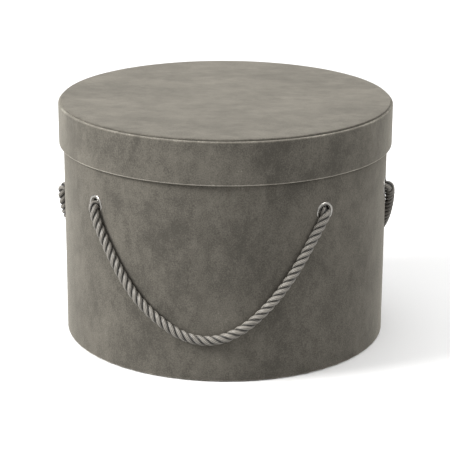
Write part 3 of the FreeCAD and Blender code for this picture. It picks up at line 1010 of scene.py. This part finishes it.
def knot_points():
    """The line of a rope's end, along +X: wound back round the rope, then down as a tail."""
    rope = rope_sizes()
    steps = 28
    coil_start = 0.1452
    coil_end = 0.1325
    points = []
    for i in range(steps + 1):
        share = i / steps
        swell = min(1.0, share / 0.12, (1.0 - share) / 0.12 + 0.45)
        turn = math.tau * rope.coil_turns * share + math.radians(200)
        reach = rope.coil_radius * (0.35 + 0.65 * swell)
        points.append(Vector((
            coil_start + (coil_end - coil_start) * share, -reach * math.sin(turn), reach * math.cos(turn),
        )))
    return points + [Vector(point) for point in KNOT_EXIT]


class HATBOX_OT_rope_ends(Operator):
    """Ties each rope's stopper knot inside the box, with its tail hanging down"""

    bl_idname = "hatbox.rope_ends"
    bl_label = "Stopper Knots"

    def execute(self, context):
        rope = rope_sizes()
        line = spline_points(knot_points())
        for name, (azimuth, height) in EYELETS.items():
            mesh, _ = laid_rope("rope_end_" + name, line, rope.diameter * rope.knot_squeeze)
            mesh.transform(facing(azimuth, height))
            piece = new_piece("rope_end_" + name, mesh, rope_material(), "box")
            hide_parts("knot_" + name, "rope_tail_" + name)
        return {"FINISHED"}


class HATBOX_OT_whippings(Operator):
    """Binds the end of each rope's tail with waxed thread"""

    bl_idname = "hatbox.whippings"
    bl_label = "Whippings"

    def execute(self, context):
        rope = rope_sizes()
        material = shared(waxed_thread, "waxed_polyester_thread")
        tree = whipping_tree()
        end = Vector(KNOT_EXIT[-1])
        down = (end - Vector(KNOT_EXIT[-3])).normalized()
        start = end - down * (rope.whipping + 1.6 * MM)
        for name, (azimuth, height) in EYELETS.items():
            mesh = grown(line_mesh([(0, 0, 0), (0, 0, MM)], False), tree, {
                "Rope Radius": rope.diameter * rope.knot_squeeze / 2 - 0.1 * MM,
                "Thread Radius": rope.thread / 2,
                "Length": rope.whipping,
                "Material": material,
            })
            along_tail = Matrix.Translation(start) @ down.to_track_quat("Z", "Y").to_matrix().to_4x4()
            mesh.transform(facing(azimuth, height) @ along_tail)
            face_outwards(mesh)
            piece = new_piece("whipping_thread_" + name, mesh, material, "box")
            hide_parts("whipping_" + name)
        return {"FINISHED"}


class HATBOX_OT_eyelets(Operator):
    """Sets the four nickel eyelets in the wall, over their washers"""

    bl_idname = "hatbox.eyelets"
    bl_label = "Eyelets"

    def execute(self, context):
        eyelet = context.scene.hatbox_eyelets
        material = shared(plated_nickel, "nickel_plate_polished")
        points = [place(azimuth, height, sizes().body_radius) for azimuth, height in EYELETS.values()]
        mesh = grown(line_mesh(points, False), eyelet_tree(), {
            "Hole Radius": eyelet.hole,
            "Flange Radius": eyelet.flange,
            "Lip": eyelet.lip,
            "Rise": eyelet.rise,
            "Barrel Length": eyelet.barrel,
            "Metal": eyelet.metal,
            "Material": material,
        })
        piece = new_piece("eyelets_rolled", face_outwards(mesh), material, "box")
        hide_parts(*["eyelet_" + name for name in EYELETS])
        paint_nodes(material, "eyelet_metal", *["eyelet_washer_" + name for name in EYELETS])
        return {"FINISHED"}


def pierce(piece):
    """Cuts the holes for the four eyelets through a piece."""
    through = Matrix.Translation((0.1550, 0, 0)) @ Matrix.Rotation(math.pi / 2, 4, "Y")
    cutters = bmesh.new()
    for azimuth, height in EYELETS.values():
        bmesh.ops.create_cone(
            cutters, cap_ends=True, segments=40, radius1=WALL_HOLE, radius2=WALL_HOLE, depth=12 * MM,
            matrix=facing(azimuth, height) @ through,
        )
    mesh = bpy.data.meshes.new("cutters")
    cutters.to_mesh(mesh)
    cutters.free()
    cutter = bpy.data.objects.new("cutters", mesh)
    bpy.context.scene.collection.objects.link(cutter)
    modifier = piece.modifiers.new("holes", "BOOLEAN")
    modifier.object = cutter
    modifier.solver = "EXACT"
    bpy.context.view_layer.update()
    cut = bpy.data.meshes.new_from_object(piece.evaluated_get(bpy.context.evaluated_depsgraph_get()))
    piece.modifiers.remove(modifier)
    material = piece.data.materials[0]
    piece.data = cut
    piece.data.materials.clear()
    piece.data.materials.append(material)
    bpy.data.objects.remove(cutter)
    for polygon in cut.polygons:
        polygon.use_smooth = True


class HATBOX_OT_wall_cloth(Operator):
    """Covers the wall in velvet, turned under the base and in over the rim, with a lapped seam at the back"""

    bl_idname = "hatbox.wall_cloth"
    bl_label = "Wall Cloth"

    def execute(self, context):
        box = sizes()
        outer = box.body_radius - box.cloth
        inner = outer - box.wall_board
        turned_in = inner - 0.8 * MM
        bottom = box.base_height
        mesh = turned_sheet(
            [
                (box.body_radius - box.base_turn, bottom, 0),
                (box.body_radius, bottom, 1.3 * MM),
                (box.body_radius, box.rim_height, 1.3 * MM),
                (turned_in, box.rim_height, 1.1 * MM),
                (turned_in, box.rim_height - box.rim_turn, 0.3 * MM),
                (inner, box.rim_height - box.rim_turn, 0),
                (inner, box.rim_height - box.cloth, 0),
                (outer, box.rim_height - box.cloth, 0),
                (outer, bottom + box.cloth, 0),
                (box.body_radius - box.base_turn, bottom + box.cloth, 0),
            ],
            outer, 5 * MM, wall_velvet(),
            outer_side=outer + 0.5 * MM, lap_width=box.lap_width, lap_height=box.lap_height,
            unevenness=box.unevenness, tucks=box.tucks, tuck_depth=0.45 * MM, tuck_below=bottom + 0.3 * MM,
        )
        piece = new_piece("wall_cloth", mesh, wall_velvet(), "box")
        pierce(piece)
        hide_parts("wall_velvet")
        return {"FINISHED"}


class HATBOX_OT_lid_cloth(Operator):
    """Covers the lid's band in velvet, turned over its top board and up inside the band"""

    bl_idname = "hatbox.lid_cloth"
    bl_label = "Lid Cloth"

    def execute(self, context):
        box = sizes()
        outer = box.lid_radius - box.cloth
        inner = outer - box.lid_board
        turned_in = box.body_radius + 0.7 * MM
        board_top = box.lid_height - box.cloth
        board_bottom = box.band_bottom + box.cloth
        mesh = turned_sheet(
            [
                (box.lid_radius - box.top_turn, board_top, 0),
                (outer, board_top, 0),
                (outer, board_bottom, 0),
                (inner, board_bottom, 0),
                (inner, box.band_bottom + box.band_turn, 0),
                (turned_in, box.band_bottom + box.band_turn, 0.3 * MM),
                (turned_in, box.band_bottom, 1.0 * MM),
                (box.lid_radius, box.band_bottom, 1.5 * MM),
                (box.lid_radius, box.lid_height, 1.6 * MM),
                (box.lid_radius - box.top_turn, box.lid_height, 0),
            ],
            outer, 4 * MM, lid_velvet(),
            outer_side=outer + 0.5 * MM, lap_width=box.lap_width, lap_height=box.lap_height,
            unevenness=box.unevenness,
        )
        piece = new_piece("lid_cloth", mesh, lid_velvet(), "lid")
        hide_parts("lid_cover")
        up_it = box.lid_height - box.band_bottom + box.top_turn + box.lid_board + box.band_turn
        up_it += 2 * box.cloth
        return {"FINISHED"}


class HATBOX_OT_lid_panel(Operator):
    """Covers the disc that closes the lid's top in velvet, down round its edge"""

    bl_idname = "hatbox.lid_panel"
    bl_label = "Lid Panel Cloth"

    def execute(self, context):
        box = sizes()
        edge = box.panel_radius - box.cloth
        card_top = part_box("lid_panel_card")[1].z
        mesh = turned_sheet(
            [
                (0, card_top, 0),
                (edge, card_top, 0),
                (edge, box.lid_height, 0),
                (box.panel_radius, box.lid_height, 0),
                (box.panel_radius, box.total_height, 1.0 * MM),
                (0, box.total_height, 0),
            ],
            edge, 6 * MM, top_velvet(),
            top_side=card_top + 0.3 * MM, unevenness=box.unevenness,
        )
        piece = new_piece("lid_panel_cloth", mesh, top_velvet(), "lid")
        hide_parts("lid_panel_velvet")
        return {"FINISHED"}


class HATBOX_OT_linings(Operator):
    """Lines the inside with paper and gives the boards under the cloth their finish"""

    bl_idname = "hatbox.linings"
    bl_label = "Linings and Boards"

    def execute(self, context):
        box = sizes()
        finish = finishes()
        lining = linen_paper("lining_paper_embossed", finish.lining)
        low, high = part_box("wall_lining")
        outer = box.body_radius - box.cloth - box.wall_board
        inner = outer - 0.4 * MM
        mesh = turned_sheet(
            [(inner, low.z, 0), (outer, low.z, 0), (outer, high.z, 0), (inner, high.z, 0)],
            outer, 8 * MM, lining,
            segments=360, inner_side=outer - 0.2 * MM, lap_width=10 * MM, lap_height=0.3 * MM,
            unevenness=0.06 * MM,
        )
        piece = new_piece("wall_lining_paper", mesh, lining, "box")
        pierce(piece)
        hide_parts("wall_lining")
        paint_nodes(lining, "lining_paper", "lid_band_lining", "lid_top_lining")
        board = pressed_board("grey_board_pressed", finish.board)
        paint_nodes(board, "greyboard", "wall_board", "base_board", "lid_band_board", "lid_top_board")
        card = pressed_board("panel_card_pressed", finish.card)
        paint_nodes(card, "panel_card", "lid_panel_card", "floor_card")
        paper = linen_paper("base_paper_embossed", finish.base_paper)
        paint_nodes(paper, "base_paper", "base_cover")
        return {"FINISHED"}


# The soft round lights, as (name, place, diameter, watts). They are aimed at the middle of the box.
LIGHTS = (
    ("key_left", (-2.0, -0.9, 1.6), 1.1, 87.0),
    ("fill_right", (1.9, -0.7, 1.5), 1.1, 16.0),
    ("overhead", (0.0, 0.5, 2.3), 2.0, 10.0),
)
LIGHT_AIM = (0, 0, 0.1)
LIGHT_COLOUR = (1.0, 0.995, 0.985)


def area_light(name, where, size, watts):
    light = bpy.data.lights.new(name, "AREA")
    light.shape = "DISK"
    light.size = size
    light.energy = watts
    light.color = LIGHT_COLOUR
    holder = bpy.data.objects.new(name, light)
    bpy.context.scene.collection.objects.link(holder)
    away = Vector(where) - Vector(LIGHT_AIM)
    holder.matrix_world = Matrix.Translation(where) @ away.to_track_quat("Z", "Y").to_matrix().to_4x4()


def bright_room(low, high):
    """A white room, its light from low at the horizon to high overhead."""
    world = bpy.data.worlds.new("studio")
    world.use_nodes = True
    tree = world.node_tree
    tree.nodes.clear()
    direction = add(tree, "ShaderNodeTexCoord").outputs["Generated"]
    height = add(tree, "ShaderNodeSeparateXYZ", {"Vector": direction}).outputs["Z"]
    strength = add(tree, "ShaderNodeMapRange", {"Value": height, "To Min": low, "To Max": high})
    room = add(tree, "ShaderNodeBackground", {"Color": (1.0, 1.0, 1.0, 1.0), "Strength": strength})
    add(tree, "ShaderNodeOutputWorld", {"Surface": room})
    return world


class HATBOX_OT_stage(Operator):
    """Sets the pale floor, the soft lights and the bright room around the box"""

    bl_idname = "hatbox.stage"
    bl_label = "Stage"

    def execute(self, context):
        half = 30.0
        mesh = bpy.data.meshes.new("floor")
        depth = -0.2 * MM
        corners = [(x * half, y * half, depth) for x, y in ((-1, -1), (1, -1), (1, 1), (-1, 1))]
        mesh.from_pydata(corners, [], [(0, 1, 2, 3)])
        floor = bpy.data.objects.new("floor", mesh)
        context.scene.collection.objects.link(floor)
        mesh.materials.append(studio_paper())
        for light in LIGHTS:
            area_light(*light)
        context.scene.world = bright_room(0.22, 1.05)
        context.scene.view_settings.view_transform = "Standard"
        return {"FINISHED"}


OPERATORS = (
    HATBOX_OT_camera,
    HATBOX_OT_rope_ends,
    HATBOX_OT_whippings,
    HATBOX_OT_ropes,
    HATBOX_OT_eyelets,
    HATBOX_OT_wall_cloth,
    HATBOX_OT_lid_cloth,
    HATBOX_OT_lid_panel,
    HATBOX_OT_linings,
    HATBOX_OT_stage,
)


class HATBOX_PT_build(Panel):
    """Lists the pieces of the hat box"""

    bl_idname = "HATBOX_PT_build"
    bl_label = "Hat Box"
    bl_space_type = "VIEW_3D"
    bl_region_type = "UI"
    bl_category = "Hat Box"

    def draw(self, context):
        for operator in OPERATORS:
            self.layout.operator(operator.bl_idname)


GROUPS = {
    "hatbox_sizes": BoxSizes,
    "hatbox_rope": RopeSizes,
    "hatbox_eyelets": EyeletSizes,
    "hatbox_finishes": Finishes,
    "hatbox_camera": CameraSizes,
}


def register():
    for group in GROUPS.values():
        bpy.utils.register_class(group)
    for operator in OPERATORS:
        bpy.utils.register_class(operator)
    bpy.utils.register_class(HATBOX_PT_build)
    for name, group in GROUPS.items():
        setattr(bpy.types.Scene, name, PointerProperty(type=group))


def unregister():
    for name in GROUPS:
        delattr(bpy.types.Scene, name)
    bpy.utils.unregister_class(HATBOX_PT_build)
    for operator in reversed(OPERATORS):
        bpy.utils.unregister_class(operator)
    for group in reversed(list(GROUPS.values())):
        bpy.utils.unregister_class(group)


def main():
    register()
    for operator in OPERATORS:
        area, name = operator.bl_idname.split(".")
        getattr(getattr(bpy.ops, area), name)()


if __name__ == "__main__":
    main()
